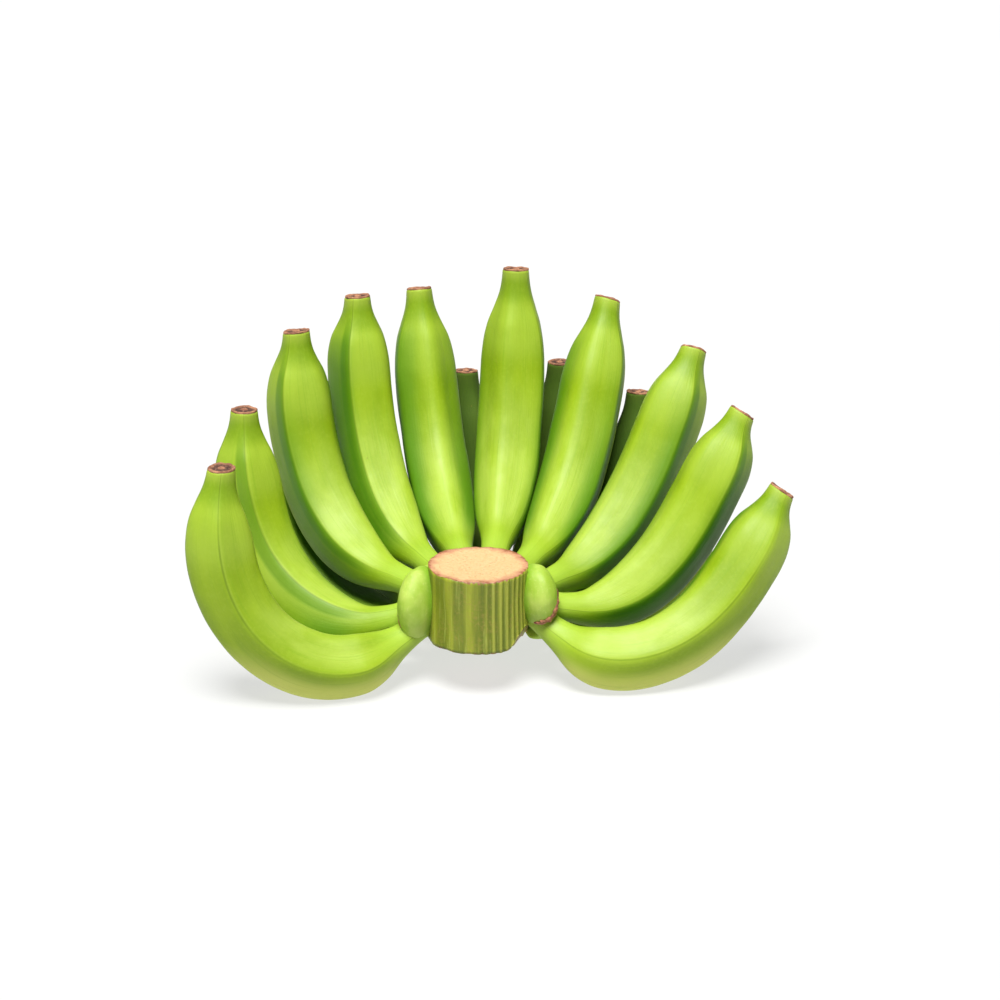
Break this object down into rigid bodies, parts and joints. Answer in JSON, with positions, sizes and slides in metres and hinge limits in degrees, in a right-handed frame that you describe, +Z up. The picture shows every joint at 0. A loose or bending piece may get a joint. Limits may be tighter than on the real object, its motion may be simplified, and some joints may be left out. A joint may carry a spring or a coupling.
{
  "type": "hand of bananas",
  "caption": "Hand of unripe green bananas: an inner and an outer row of curved fingers growing from one crown around a short cut piece of main stalk.",
  "frame": {"origin": "on the surface the hand rests on, under the middle of the whole hand", "axes": "+Z up along the main stalk, +X across the hand's width, -Y towards the stalk and the crown, +Y towards the back of the outer row"},
  "size_m": [0.3403, 0.2457, 0.2013],
  "materials": {
    "peel": "waxy",
    "crown": "matte"
  },
  "bodies": {
    "root": {"crown": "crown", "finger_inner_01": "peel", "finger_inner_02": "peel", "finger_inner_03": "peel", "finger_inner_04": "peel", "finger_inner_05": "peel", "finger_inner_06": "peel", "finger_inner_07": "peel", "finger_inner_08": "peel", "finger_inner_09": "peel", "finger_inner_10": "peel", "finger_outer_01": "peel", "finger_outer_02": "peel", "finger_outer_03": "peel", "finger_outer_04": "peel", "finger_outer_05": "peel", "finger_outer_06": "peel"}
  },
  "joints": []
}
